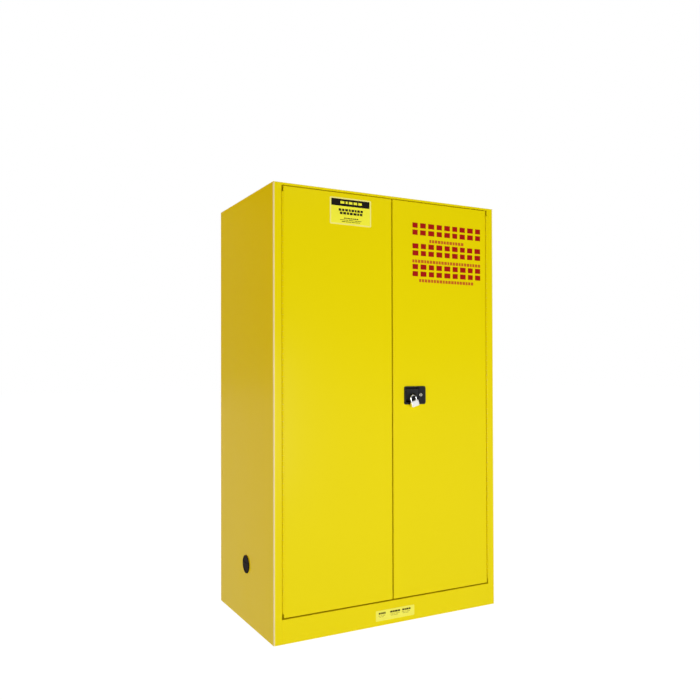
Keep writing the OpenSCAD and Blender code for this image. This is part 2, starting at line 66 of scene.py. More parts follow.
# Camera
# A plain lens at chest height, to the left of the front, turned a little towards the right. The lens
# is shifted rather than tilted, so that uprights stay upright.
camera_data = bpy.data.cameras.new("camera")
camera_data.sensor_width = 36.0
camera_data.lens = 37.34
camera_data.shift_y = 0.0161
camera_data.clip_end = 50.0
camera = bpy.data.objects.new("camera", camera_data)
camera.matrix_world = (
    Matrix.Translation((-1.473, -2.694, 0.977))
    @ Matrix.Rotation(radians(-28.20), 4, "Z")
    @ Matrix.Rotation(radians(90.68), 4, "X")
    @ Matrix.Rotation(radians(-0.15), 4, "Z")
)
bpy.context.scene.collection.objects.link(camera)
bpy.context.scene.camera = camera
bpy.context.scene.view_settings.view_transform = "Standard"


# Outer shell
# Sides, back, top and sill are cut and folded from 1.2 mm sheet, welded, and powder coated in
# safety yellow. Each side panel also forms the front stile and the jamb that the hinge sits on.
def linear(hex_colour):
    """An sRGB hex value as linear RGBA."""
    parts = [int(hex_colour[i : i + 2], 16) / 255 for i in (1, 3, 5)]
    return tuple(c / 12.92 if c <= 0.04045 else ((c + 0.055) / 1.055) ** 2.4 for c in parts) + (1.0,)


def add(tree, kind, inputs=None, **settings):
    """A node with its settings; each input is a value, or the output that feeds it."""
    node = tree.nodes.new("ShaderNode" + kind)
    for name, value in settings.items():
        setattr(node, name, value)
    for key, value in (inputs or {}).items():
        if isinstance(value, bpy.types.NodeSocket):
            tree.links.new(value, node.inputs[key])
        else:
            node.inputs[key].default_value = value
    return node


def mixed(tree, factor, one, other):
    """A colour that drifts between two hex values with the factor."""
    return add(tree, "Mix", {"Factor": factor, "A": linear(one), "B": linear(other)}, data_type="RGBA")


def new_material(name):
    """An empty node material with its output, and its Object coordinates."""
    material = bpy.data.materials.new(name)
    material.use_nodes = True
    tree = material.node_tree
    tree.nodes.clear()
    return material, tree, add(tree, "TexCoord").outputs["Object"]


def finish_with(tree, shader):
    """Sends a shader to the material's output."""
    add(tree, "OutputMaterial", {"Surface": shader.outputs["BSDF"]})


def powder_coated_steel(name, light, deep):
    """Polyester powder baked on sheet steel: a satin skin whose flow leaves a fine orange peel."""
    material, tree, place = new_material(name)
    drift = add(tree, "TexNoise", {"Vector": place, "Scale": 1.6, "Detail": 3.0})
    colour = mixed(tree, drift.outputs["Fac"], light, deep)
    peel = add(tree, "TexNoise", {"Vector": place, "Scale": 1 / (3 * MM), "Detail": 2.0})
    sag = add(tree, "TexNoise", {"Vector": place, "Scale": 1 / (260 * MM), "Detail": 1.0})
    handling = add(tree, "TexNoise", {"Vector": place, "Scale": 1 / (90 * MM), "Detail": 5.0})
    gloss = add(tree, "MapRange", {"Value": handling.outputs["Fac"], "To Min": 0.34, "To Max": 0.46})
    wave = add(tree, "Bump", {"Height": sag.outputs["Fac"], "Strength": 0.25, "Distance": 1.2 * MM})
    bump = add(
        tree,
        "Bump",
        {"Height": peel.outputs["Fac"], "Strength": 0.16, "Distance": 0.12 * MM, "Normal": wave.outputs["Normal"]},
    )
    shader = add(
        tree,
        "BsdfPrincipled",
        {
            "Base Color": colour.outputs["Result"],
            "Roughness": gloss.outputs["Result"],
            "IOR": 1.5,
            "Specular IOR Level": 0.03,
            "Coat Weight": 0.14,
            "Coat Roughness": 0.2,
            "Normal": bump.outputs["Normal"],
        },
    )
    finish_with(tree, shader)
    return material


def merged_copy(node_name):
    """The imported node's mesh with its loose triangles joined and its flat faces made whole."""
    mesh = bmesh.new()
    mesh.from_mesh(frame["nodes"][node_name].data)
    bmesh.ops.remove_doubles(mesh, verts=mesh.verts, dist=0.01 * MM)
    bmesh.ops.dissolve_limit(mesh, angle_limit=radians(0.5), verts=mesh.verts, edges=mesh.edges)
    return mesh


def round_edges(mesh, radius, segments, chosen=lambda edge: True, angle=30, material=-1):
    """Rounds the chosen edges that are sharper than the angle."""
    sharp = [
        e for e in mesh.edges if len(e.link_faces) == 2 and e.calc_face_angle(0) > radians(angle) and chosen(e)
    ]
    bmesh.ops.bevel(
        mesh,
        geom=sharp,
        offset=radius,
        offset_type="OFFSET",
        affect="EDGES",
        segments=segments,
        profile=0.5,
        material=material,
        clamp_overlap=True,
    )


def piece(mesh, name, *materials, smooth=40):
    """A finished mesh as an object at the origin. It is smooth where its faces meet at less than the angle,
    and large faces outweigh small ones, so that a flat panel stays flat up to its rounded edge. A face that
    bends round an opening is cut into triangles, so that the opening stays open."""
    bmesh.ops.triangulate(mesh, faces=[f for f in mesh.faces if len(f.verts) > 4])
    limit = cos(radians(smooth))
    mesh.normal_update()
    for face in mesh.faces:
        face.smooth = True
    for edge in mesh.edges:
        edge.smooth = len(edge.link_faces) == 2 and edge.calc_face_angle(0) < radians(smooth)
    data = bpy.data.meshes.new(name)
    mesh.to_mesh(data)
    normals = []
    for face in mesh.faces:
        for loop in face.loops:
            near = [f for f in loop.vert.link_faces if f.normal.dot(face.normal) > limit]
            normals.append(sum((f.normal * f.calc_area() for f in near), Vector()).normalized())
    data.normals_split_custom_set(normals)
    mesh.free()
    for material in materials:
        data.materials.append(material)
    made = bpy.data.objects.new(name, data)
    bpy.context.scene.collection.objects.link(made)
    return made


def stand_in(made, *node_names):
    """The piece rides with the body of the nodes that it stands for, and the nodes are hidden."""
    node = frame["nodes"][node_names[0]]
    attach(made, node["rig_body"])
    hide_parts(*node_names)
    return made


def finished(node_name, material, radius, segments=2):
    """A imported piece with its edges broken, as deburring and coating leave them."""
    mesh = merged_copy(node_name)
    round_edges(mesh, radius, segments)
    return stand_in(piece(mesh, node_name + "_finished", material), node_name)


def extra(made, rides_with):
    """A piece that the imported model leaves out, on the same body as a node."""
    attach(made, frame["nodes"][rides_with]["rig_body"])
    return made


def upright(edge):
    """Whether an edge stands vertically."""
    a, b = edge.verts
    return abs(a.co.z - b.co.z) > 0.5 and (a.co.xy - b.co.xy).length < 1 * MM


yellow = powder_coated_steel("powder_coated_steel", "#F0DC02", "#ECD800")
# The rounded front fold of each side gets a pale cream coat colour: a painted highlight, standing in for the light
# that the fold catches.
painted_fold_highlight = powder_coated_steel("powder_coat_painted_fold_highlight", "#F6E8B4", "#F0DF9C")
fold_outer = 4.5 * MM
side_low, side_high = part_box("outer_side_left")
for side in ("left", "right"):
    shell = merged_copy("outer_side_" + side)
    outermost = max(abs(side_low.x), abs(side_high.x))
    round_edges(
        shell,
        fold_outer,
        5,
        lambda e: upright(e)
        and abs(abs(e.verts[0].co.x) - outermost) < 0.1 * MM
        and abs(e.verts[0].co.y - side_low.y) < 0.1 * MM,
        # The rounded fold's new faces take slot 1, the painted highlight.
        material=1,
    )
    round_edges(shell, 0.5 * MM, 2)
    stand_in(piece(shell, "side_panel_" + side, yellow, painted_fold_highlight), "outer_side_" + side)
for name in ("outer_back", "outer_top", "outer_bottom", "base_sill"):
    finished(name, yellow, 0.5 * MM)

# Inner liner and sump
# A second box of the same sheet, 38 mm inside the first, so that still air insulates the contents.
# The pan at the bottom is welded all round to hold what leaks.
for name in ("inner_side_left", "inner_side_right", "inner_back", "inner_top", "sump_pan", "door_stop_frame"):
    finished(name, yellow, 0.4 * MM)


def placed(mesh, verts, transform):
    """Moves the new vertices and hands back the faces that they bound."""
    bmesh.ops.transform(mesh, matrix=transform, verts=verts)
    return {f for v in verts for f in v.link_faces}


def slab(mesh, low, high):
    """A closed box between two corners, in metres."""
    low, high = Vector(low), Vector(high)
    verts = bmesh.ops.create_cube(mesh, size=1.0)["verts"]
    return placed(mesh, verts, Matrix.Translation((low + high) / 2) @ Matrix.Diagonal((*(high - low), 1.0)))


def disc(mesh, centre, facing, radius, height, sides=24, top_radius=None):
    """A short cylinder or cone that stands on its centre and rises along the facing direction."""
    verts = bmesh.ops.create_cone(
        mesh,
        cap_ends=True,
        segments=sides,
        radius1=radius,
        radius2=radius if top_radius is None else top_radius,
        depth=height,
    )["verts"]
    turn = Vector(facing).to_track_quat("Z", "Y").to_matrix().to_4x4()
    return placed(mesh, verts, Matrix.Translation(centre) @ turn @ Matrix.Translation((0, 0, height / 2)))


def ringed_bar(mesh, start, facing, length, sides, rings, radius_at):
    """A closed round bar whose radius follows a function of the distance along it and the turn round it."""
    turn = Matrix.Translation(start) @ Vector(facing).to_track_quat("Z", "Y").to_matrix().to_4x4()
    loops = []
    for ring in range(rings + 1):
        along = length * ring / rings
        loop = []
        for side in range(sides):
            angle = tau * side / sides
            reach = radius_at(along, angle)
            loop.append(mesh.verts.new(turn @ Vector((reach * cos(angle), reach * sin(angle), along))))
        loops.append(loop)
    for below, above in zip(loops, loops[1:]):
        for side in range(sides):
            after = (side + 1) % sides
            mesh.faces.new((below[side], below[after], above[after], above[side]))
    mesh.faces.new(reversed(loops[0]))
    mesh.faces.new(loops[-1])


# Weld beads stand in the pan's four inner corners, with the ripples of the torch's steps.
pan_low, pan_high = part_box("sump_pan")
bead_step, bead_radius = 2.2 * MM, 2.4 * MM
beads = bmesh.new()
for x in (pan_low.x + 1.6 * MM, pan_high.x - 1.6 * MM):
    for y in (pan_low.y + 1.6 * MM, pan_high.y - 1.6 * MM):
        ringed_bar(
            beads,
            (x, y, pan_low.z + 0.5 * MM),
            (0, 0, 1),
            46 * MM,
            10,
            92,
            lambda along, angle: bead_radius * (0.88 + 0.12 * abs(sin(pi * along / bead_step))),
        )
extra(piece(beads, "sump_weld_beads", yellow, smooth=60), "sump_pan")

# Rubber buttons on the stop frame meet the closed doors and keep them from drumming.
rubber, rubber_tree, rubber_place = new_material("black_rubber")
rubber_grain = add(rubber_tree, "TexNoise", {"Vector": rubber_place, "Scale": 1 / (0.6 * MM), "Detail": 2.0})
rubber_bump = add(
    rubber_tree, "Bump", {"Height": rubber_grain.outputs["Fac"], "Strength": 0.2, "Distance": 0.05 * MM}
)
finish_with(
    rubber_tree,
    add(
        rubber_tree,
        "BsdfPrincipled",
        {"Base Color": linear("#161616"), "Roughness": 0.62, "IOR": 1.5, "Normal": rubber_bump.outputs["Normal"]},
    ),
)
stop_low, stop_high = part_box("door_stop_frame")
buttons = bmesh.new()
for sign in (-1, 1):
    for height in (stop_low.z + 160 * MM, (stop_low.z + stop_high.z) / 2 + 260 * MM, stop_high.z - 160 * MM):
        disc(buttons, (sign * (stop_high.x - 9 * MM), stop_low.y, height), (0, -1, 0), 5 * MM, 2.2 * MM, 24, 3.6 * MM)
round_edges(buttons, 0.4 * MM, 2)
extra(piece(buttons, "door_buttons", rubber), "door_stop_frame")


# Channels, standards and shelves
# Hot-dip galvanised sheet, folded. The zinc freezes in flat crystals, the spangle.
def galvanised_steel():
    """Zinc crystals of some 8 mm, each a slightly different grey and gloss."""
    material, tree, place = new_material("galvanised_steel")
    crystal = add(tree, "TexVoronoi", {"Vector": place, "Scale": 1 / (9 * MM), "Randomness": 1.0})
    grey = mixed(tree, crystal.outputs["Color"], "#A9ADAF", "#C4C8CA")
    gloss = add(tree, "MapRange", {"Value": crystal.outputs["Color"], "To Min": 0.30, "To Max": 0.48})
    grain = add(tree, "TexNoise", {"Vector": place, "Scale": 1 / (1.5 * MM), "Detail": 3.0})
    bump = add(tree, "Bump", {"Height": grain.outputs["Fac"], "Strength": 0.12, "Distance": 0.05 * MM})
    shader = add(
        tree,
        "BsdfPrincipled",
        {
            "Base Color": grey.outputs["Result"],
            "Metallic": 1.0,
            "Roughness": gloss.outputs["Result"],
            "Normal": bump.outputs["Normal"],
        },
    )
    finish_with(tree, shader)
    return material


galvanised = galvanised_steel()
frame["nodes"]["wall_spacers"].data.materials.clear()
frame["nodes"]["wall_spacers"].data.materials.append(galvanised)
for name in ("shelf_standards", "shelf_clips", "foot_brackets", "rod_guides"):
    finished(name, galvanised, 0.3 * MM, 1)
for name in ("shelf_lower", "shelf_upper"):
    finished(name, galvanised, 0.45 * MM)


# Hinges
# Full-length piano hinges: two leaves with rolled knuckles in turn, coated with the body,
# on a bright zinc-plated pin.
def zinc_plated_steel():
    """Bright zinc over drawn steel: a cool grey with fine drawing lines along the bar."""
    material, tree, place = new_material("zinc_plated_steel")
    stretched = add(tree, "Mapping", {"Vector": place, "Scale": (900.0, 900.0, 40.0)})
    lines = add(tree, "TexNoise", {"Vector": stretched.outputs["Vector"], "Scale": 1.0, "Detail": 3.0})
    cloud = add(tree, "TexNoise", {"Vector": place, "Scale": 1 / (25 * MM), "Detail": 2.0})
    tone = mixed(tree, cloud.outputs["Fac"], "#B9BEC4", "#D2D5D6")
    gloss = add(tree, "MapRange", {"Value": lines.outputs["Fac"], "To Min": 0.20, "To Max": 0.42})
    bump = add(tree, "Bump", {"Height": lines.outputs["Fac"], "Strength": 0.15, "Distance": 0.03 * MM})
    shader = add(
        tree,
        "BsdfPrincipled",
        {
            "Base Color": tone.outputs["Result"],
            "Metallic": 1.0,
            "Roughness": gloss.outputs["Result"],
            "Normal": bump.outputs["Normal"],
        },
    )
    finish_with(tree, shader)
    return material


zinc = zinc_plated_steel()
for side in ("left", "right"):
    finished("hinge_frame_leaf_" + side, yellow, 0.25 * MM, 1)
    finished("hinge_door_leaf_" + side, yellow, 0.25 * MM, 1)
    finished("hinge_pin_" + side, zinc, 0.5 * MM, 2)

# Doors
# Each door is a folded tray closed by a flat inner panel. The tray's front edges keep
# the bend radius of the press brake.
for side in ("left", "right"):
    low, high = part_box("door_outer_" + side)
    tray = merged_copy("door_outer_" + side)
    on_front = lambda e: all(abs(v.co.y - low.y) < 0.1 * MM for v in e.verts)
    on_rim = lambda e: all(
        min(abs(v.co.x - low.x), abs(v.co.x - high.x), abs(v.co.z - low.z), abs(v.co.z - high.z)) < 0.1 * MM
        for v in e.verts
    )
    round_edges(tray, 1.6 * MM, 4, lambda e: on_front(e) and on_rim(e))
    round_edges(tray, 0.4 * MM, 2, lambda e: not on_front(e))
    stand_in(piece(tray, "door_tray_" + side, yellow), "door_outer_" + side)
    finished("door_inner_" + side, yellow, 0.5 * MM)

# The inner panels are spot welded to the trays, and the coat fills the electrode marks to shallow rings.
for side in ("left", "right"):
    low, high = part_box("door_inner_" + side)
    inset, pitch = 14 * MM, 92 * MM
    marks = bmesh.new()
    columns, rows = round((high.x - low.x - 2 * inset) / pitch), round((high.z - low.z - 2 * inset) / pitch)
    for column in range(columns + 1):
        for row in range(rows + 1):
            if column in (0, columns) or row in (0, rows):
                x = low.x + inset + (high.x - low.x - 2 * inset) * column / columns
                z = low.z + inset + (high.z - low.z - 2 * inset) * row / rows
                disc(marks, (x, high.y - 0.1 * MM, z), (0, 1, 0), 3.2 * MM, 0.35 * MM, 16, 2.2 * MM)
    extra(piece(marks, "spot_welds_" + side, yellow), "door_inner_" + side)

# Keepers, rods and cam
# Zinc-plated plates and bars of the three-point lock, hidden in the right door and the frame.
for name in (
    "bolt_keepers",
    "centre_keeper",
    "paddle_pin",
    "lock_cam",
    "rod_top",
    "rod_bottom",
    "centre_bolt",
):
    finished(name, zinc, 0.3 * MM, 1)


# The return spring is a coil of round wire on the paddle's pin.
spring_low, spring_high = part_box("paddle_spring")
wire = 0.7 * MM
axis = (spring_low + spring_high) / 2
coil_radius = (spring_high.z - spring_low.z) / 2 - wire
turns, steps, sides = 5, 32, 10
coil = bmesh.new()
start, end = spring_low.x + wire, spring_high.x - wire
loops = []
for step in range(turns * steps + 1):
    angle = tau * step / steps
    out = Vector((0, cos(angle), sin(angle)))
    middle = Vector((start + (end - start) * step / (turns * steps), axis.y, axis.z)) + coil_radius * out
    ring = []
    for k in range(sides):
        turn = tau * k / sides
        ring.append(middle + wire * (cos(turn) * out + sin(turn) * Vector((1, 0, 0))))
    loops.append([coil.verts.new(point) for point in ring])
for here, there in zip(loops, loops[1:]):
    for k in range(sides):
        coil.faces.new((here[k], here[(k + 1) % sides], there[(k + 1) % sides], there[k]))
coil.faces.new(loops[0])
coil.faces.new(loops[-1])
bmesh.ops.recalc_face_normals(coil, faces=coil.faces)
stand_in(piece(coil, "paddle_spring_coil", zinc), "paddle_spring")


# Handle
# The housing and paddle are pressure die cast in zinc and coated black with a fine texture.
def coated_black(name, deep, pale, rough_from, rough_to, grain_mm, shine):
    """A thin black coat over metal, its texture as fine as the grain."""
    material, tree, place = new_material(name)
    grain = add(tree, "TexNoise", {"Vector": place, "Scale": 1 / (grain_mm * MM), "Detail": 2.0})
    haze = add(tree, "TexNoise", {"Vector": place, "Scale": 1 / (30 * MM), "Detail": 3.0})
    tone = mixed(tree, haze.outputs["Fac"], deep, pale)
    gloss = add(tree, "MapRange", {"Value": haze.outputs["Fac"], "To Min": rough_from, "To Max": rough_to})
    bump = add(tree, "Bump", {"Height": grain.outputs["Fac"], "Strength": 0.3, "Distance": 0.08 * MM})
    shader = add(
        tree,
        "BsdfPrincipled",
        {
            "Base Color": tone.outputs["Result"],
            "Roughness": gloss.outputs["Result"],
            "IOR": 1.5,
            "Specular IOR Level": shine,
            "Normal": bump.outputs["Normal"],
        },
    )
    finish_with(tree, shader)
    return material


def low_panels(mesh, at_y, margin, depth):
    """Sinks the flat areas that face forwards at this depth, and leaves a lip of the margin round each. The
    margin is less than half of the narrowest web, so that two lips never cross."""
    front = [f for f in mesh.faces if f.normal.y < -0.99 and abs(f.calc_center_median().y - at_y) < 0.05 * MM]
    bmesh.ops.inset_region(mesh, faces=front, thickness=margin, depth=-depth, use_even_offset=True, use_boundary=True)


die_cast = coated_black("black_die_cast_zinc", "#0C0D10", "#1B1C20", 0.30, 0.42, 0.9, 0.3)
plate_low, plate_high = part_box("handle_housing")
paddle_stands_proud = 1 * MM
for name, face_y, margin, depth, radius in (
    ("handle_housing", plate_low.y, 0.9 * MM, 0.3 * MM, 0.3 * MM),
    ("paddle", plate_low.y - paddle_stands_proud, 3.0 * MM, 0.4 * MM, 0.45 * MM),
):
    casting = merged_copy(name)
    low_panels(casting, face_y, margin, depth)
    round_edges(casting, radius, 3, lambda e: e.is_convex)
    stand_in(piece(casting, name + "_casting", die_cast), name)


# A thin rubber gasket seals the housing to the door's skin.
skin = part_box("door_outer_right")[0].y
gasket_edge, gasket_thickness, gasket_corner = 0.8 * MM, 0.9 * MM, 6.8 * MM
gasket = bmesh.new()
slab(
    gasket,
    (plate_low.x - gasket_edge, skin - gasket_thickness, plate_low.z - gasket_edge),
    (plate_high.x + gasket_edge, skin, plate_high.z + gasket_edge),
)
corners = [e for e in gasket.edges if abs(e.verts[0].co.y - e.verts[1].co.y) > 0.5 * MM]
bmesh.ops.bevel(gasket, geom=corners, offset=gasket_corner, affect="EDGES", segments=8, profile=0.5, material=-1)
bmesh.ops.delete(gasket, geom=[f for f in gasket.faces if abs(f.normal.y) > 0.9], context="FACES")
inner = bmesh.ops.duplicate(gasket, geom=gasket.faces[:])
bmesh.ops.scale(
    gasket,
    vec=(0.93, 1.0, 0.9),
    verts=[g for g in inner["geom"] if isinstance(g, bmesh.types.BMVert)],
    space=Matrix.Translation(-(plate_low + plate_high) / 2),
)
bmesh.ops.reverse_faces(gasket, faces=[g for g in inner["geom"] if isinstance(g, bmesh.types.BMFace)])
open_edges = [e for e in gasket.edges if len(e.link_faces) == 1]
for at_front in (True, False):
    ends = [e for e in open_edges if (e.verts[0].co.y < skin - 0.5 * MM) == at_front]
    bmesh.ops.bridge_loops(gasket, edges=ends)
bmesh.ops.recalc_face_normals(gasket, faces=gasket.faces)
extra(piece(gasket, "handle_gasket", rubber), "handle_housing")


# Key cylinder and padlock
# A nickel-plated brass plug with its keyway, and a small chromed padlock hanging in the paddle's eye.
def plated(name, light, dark, rough_from, rough_to):
    """Bright plating over metal, with faint wiping marks."""
    material, tree, place = new_material(name)
    wipe = add(tree, "TexNoise", {"Vector": place, "Scale": 1 / (6 * MM), "Detail": 4.0})
    tone = mixed(tree, wipe.outputs["Fac"], light, dark)
    gloss = add(tree, "MapRange", {"Value": wipe.outputs["Fac"], "To Min": rough_from, "To Max": rough_to})
    bump = add(tree, "Bump", {"Height": wipe.outputs["Fac"], "Strength": 0.05, "Distance": 0.1 * MM})
    shader = add(
        tree,
        "BsdfPrincipled",
        {
            "Base Color": tone.outputs["Result"],
            "Metallic": 1.0,
            "Roughness": gloss.outputs["Result"],
            "Normal": bump.outputs["Normal"],
        },
    )
    finish_with(tree, shader)
    return material


nickel = plated("nickel_plated_brass", "#CFCBBE", "#B5B09F", 0.18, 0.30)
chrome = plated("polished_chrome", "#E4E5E6", "#D2D3D6", 0.06, 0.16)
satin_chrome = plated("satin_chrome", "#FBFAF8", "#F0EFEC", 0.34, 0.46)
finished("key_cylinder", nickel, 0.4 * MM, 2)
finished("padlock_shackle", chrome, 0.4 * MM, 3)

# The case is turned a little about the line of sight. Its local X runs across it and Z along the legs.
tilt = radians(17)
case_axes = Matrix.Rotation(-tilt, 4, "Y")
case_low, case_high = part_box("padlock_body")
legs_middle = (case_low + case_high) / 2
rivet_head, rivet_inset = 0.3 * MM, 4.2 * MM
case = merged_copy("padlock_body")
untilted = [case_axes.inverted() @ (v.co - legs_middle) for v in case.verts]
half_width, half_height = max(p.x for p in untilted), max(p.z for p in untilted)
room = 1 - 2 * rivet_head / (case_high.y - case_low.y)
bmesh.ops.scale(case, vec=(1.0, room, 1.0), verts=case.verts, space=Matrix.Translation(-legs_middle))


def on_outside(edge):
    """Whether an edge lies on the case's outline rather than round a hole."""
    ends = [case_axes.inverted() @ (v.co - legs_middle) for v in edge.verts]
    return all(abs(p.y) > (case_high.y - case_low.y) / 2 - 2 * rivet_head for p in ends)


round_edges(case, 1.1 * MM, 4, on_outside, angle=60)
round_edges(case, 0.25 * MM, 2, angle=60)
stand_in(piece(case, "padlock_case", satin_chrome), "padlock_body")
trim = bmesh.new()
for sign in (-1, 1):
    for up in (-1, 1):
        corner = Vector((sign * (half_width - rivet_inset), 0, up * (half_height - rivet_inset)))
        rivet = legs_middle + case_axes @ corner
        disc(trim, (rivet.x, case_low.y + 1.1 * rivet_head, rivet.z), (0, -1, 0), 1.3 * MM, rivet_head, 20, 0.9 * MM)
extra(piece(trim, "padlock_rivets", nickel), "padlock_body")
plug_middle = legs_middle + case_axes @ Vector((0, 0, 2.2 * MM - half_height))
plug = bmesh.new()
disc(plug, plug_middle, case_axes @ Vector((0, 0, -1)), 4.3 * MM, 1.6 * MM, 32)
round_edges(plug, 0.3 * MM, 2)
extra(piece(plug, "padlock_plug", nickel), "padlock_body")


# Labels and markings
# Printed vinyl film stuck on the coat. The print is plain blocks and bars.
def printed_vinyl(name, colour):
    """Cast vinyl film with solvent ink: flat colour, low sheen, the coat's peel showing through."""
    material, tree, place = new_material(name)
    fade = add(tree, "TexNoise", {"Vector": place, "Scale": 1 / (40 * MM), "Detail": 4.0})
    tone = add(tree, "HueSaturation", {"Color": linear(colour), "Value": 1.0})
    value = add(tree, "MapRange", {"Value": fade.outputs["Fac"], "To Min": 0.94, "To Max": 1.06})
    tree.links.new(value.outputs["Result"], tone.inputs["Value"])
    peel = add(tree, "TexNoise", {"Vector": place, "Scale": 1 / (3 * MM), "Detail": 2.0})
    bump = add(tree, "Bump", {"Height": peel.outputs["Fac"], "Strength": 0.08, "Distance": 0.1 * MM})
    shader = add(
        tree,
        "BsdfPrincipled",
        {
            "Base Color": tone.outputs["Color"],
            "Roughness": 0.5,
            "IOR": 1.46,
            "Specular IOR Level": 0.1,
            "Normal": bump.outputs["Normal"],
        },
    )
    finish_with(tree, shader)
    return material


PRINT = 0.03 * MM


def printed_blocks(name, rides_with, colour, blocks, proud=PRINT):
    """Plain printed rectangles, each (x from, x to, z from, z to) in mm, on the film of a node."""
    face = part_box(rides_with)[0].y
    mesh = bmesh.new()
    for left, right, bottom, top in blocks:
        slab(mesh, (left * MM, face - proud, bottom * MM), (right * MM, face + PRINT, top * MM))
    return extra(piece(mesh, name, printed_vinyl("ink_" + name, colour)), rides_with)


def split_row(left, right, bottom, top, widths, gap):
    """Blocks of the given relative widths that fill a row, with an even gap between them."""
    scale = (right - left - gap * (len(widths) - 1)) / sum(widths)
    blocks = []
    for width in widths:
        blocks.append((left, left + width * scale, bottom, top))
        left += width * scale + gap
    return blocks


# The door plate has a pale border, a dark header, two bold lines and three fine ones.
label = merged_copy("door_label")
round_edges(label, 5 * MM, 6, lambda e: abs(e.verts[0].co.y - e.verts[1].co.y) > 0.05 * MM, 60)
stand_in(piece(label, "door_label_film", printed_vinyl("printed_door_label", "#F6EE86")), "door_label")
low, high = (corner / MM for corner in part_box("door_label"))
printed_blocks("door_label_field", "door_label", "#F9F43F", [(low.x + 5, high.x - 5, low.z + 5, high.z - 5)])
printed_blocks(
    "door_label_header",
    "door_label",
    "#1C1913",
    [(low.x + 6, high.x - 7, high.z - 31, high.z - 5)],
    2 * PRINT,
)
header = split_row(low.x + 44, high.x - 40, high.z - 22, high.z - 13, (10, 5, 9, 9, 9), 5)
printed_blocks("door_label_header_blocks", "door_label", "#F9F43F", header, 3 * PRINT)
lines = split_row(low.x + 37, high.x - 36, high.z - 50, high.z - 41, (9, 8, 10, 7, 9, 6, 9, 8), 3)
lines += split_row(low.x + 42, high.x - 38, high.z - 62, high.z - 53, (8, 9, 7, 9, 10, 6, 8), 3)
lines += split_row(low.x + 60, high.x - 56, high.z - 78, high.z - 74, (5, 4, 6, 5, 4, 6, 5), 2)
lines += split_row(low.x + 44, high.x - 42, high.z - 84, high.z - 82, (14, 9, 17, 8, 12), 2)
lines += split_row(low.x + 50, high.x - 48, high.z - 90, high.z - 88, (9, 15, 8, 13), 2)
printed_blocks("door_label_lines", "door_label", "#2B2716", lines, 2 * PRINT)

# The right door carries three bold rows and three fine ones, each of plain stacked blocks.
low, high = (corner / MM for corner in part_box("door_marking"))
bold, fine = [], []
for bottom, count in ((1346, 9), (1428, 9), (1510, 9)):
    widths = [22 + (7 * n + bottom) % 5 for n in range(count)]
    for z_from, z_to in ((bottom, bottom + 20), (bottom + 28, bottom + 48)):
        bold += split_row(94, 428, z_from, z_to, widths, 12)
for left, right, bottom, count in ((125, 391, 1324, 19), (93, 428, 1400, 24), (174, 342, 1483, 12)):
    fine += split_row(left, right, bottom, bottom + 12, [9 + (5 * n) % 4 for n in range(count)], 3.5)
ink = bmesh.new()
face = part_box("door_marking")
for left, right, bottom, top in bold:
    slab(ink, (left * MM, face[0].y, bottom * MM), (right * MM, face[1].y, top * MM))
stand_in(piece(ink, "marking_bold_rows", printed_vinyl("printed_red", "#A8140A")), "door_marking")
ink = bmesh.new()
for left, right, bottom, top in fine:
    slab(ink, (left * MM, face[0].y, bottom * MM), (right * MM, face[1].y, top * MM))
fine_rows = piece(ink, "marking_fine_rows", printed_vinyl("printed_orange", "#C8641A"))
extra(fine_rows, "door_marking")

# The sill's label is pale yellow. Each of its three columns has a bold line over two fine short ones.
sill_film = printed_vinyl("printed_base_label", "#F7F05E")
stand_in(piece(merged_copy("base_label"), "base_label_film", sill_film), "base_label")
low, high = (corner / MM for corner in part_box("base_label"))
gutter, columns = 7, 3
column = (high.x - low.x - gutter * (columns + 1)) / columns
bold, fine = [], []
for n, (indent, length) in enumerate(((0.12, 0.62), (0.02, 0.92), (0.0, 0.78))):
    left = low.x + gutter + n * (column + gutter)
    start, end = left + indent * column, left + (indent + length) * column
    bold += split_row(start, end, high.z - 15, high.z - 8, (7, 5, 8, 6), 1.2)
    fine += split_row(start - 2, end - 2, high.z - 21, high.z - 19, (8, 5, 10), 2)
    fine += split_row(start + 3, end - 9, high.z - 26, high.z - 24, (6, 9), 2)
printed_blocks("base_label_bold_lines", "base_label", "#4A4412", bold)
printed_blocks("base_label_lines", "base_label", "#B0A53C", fine)

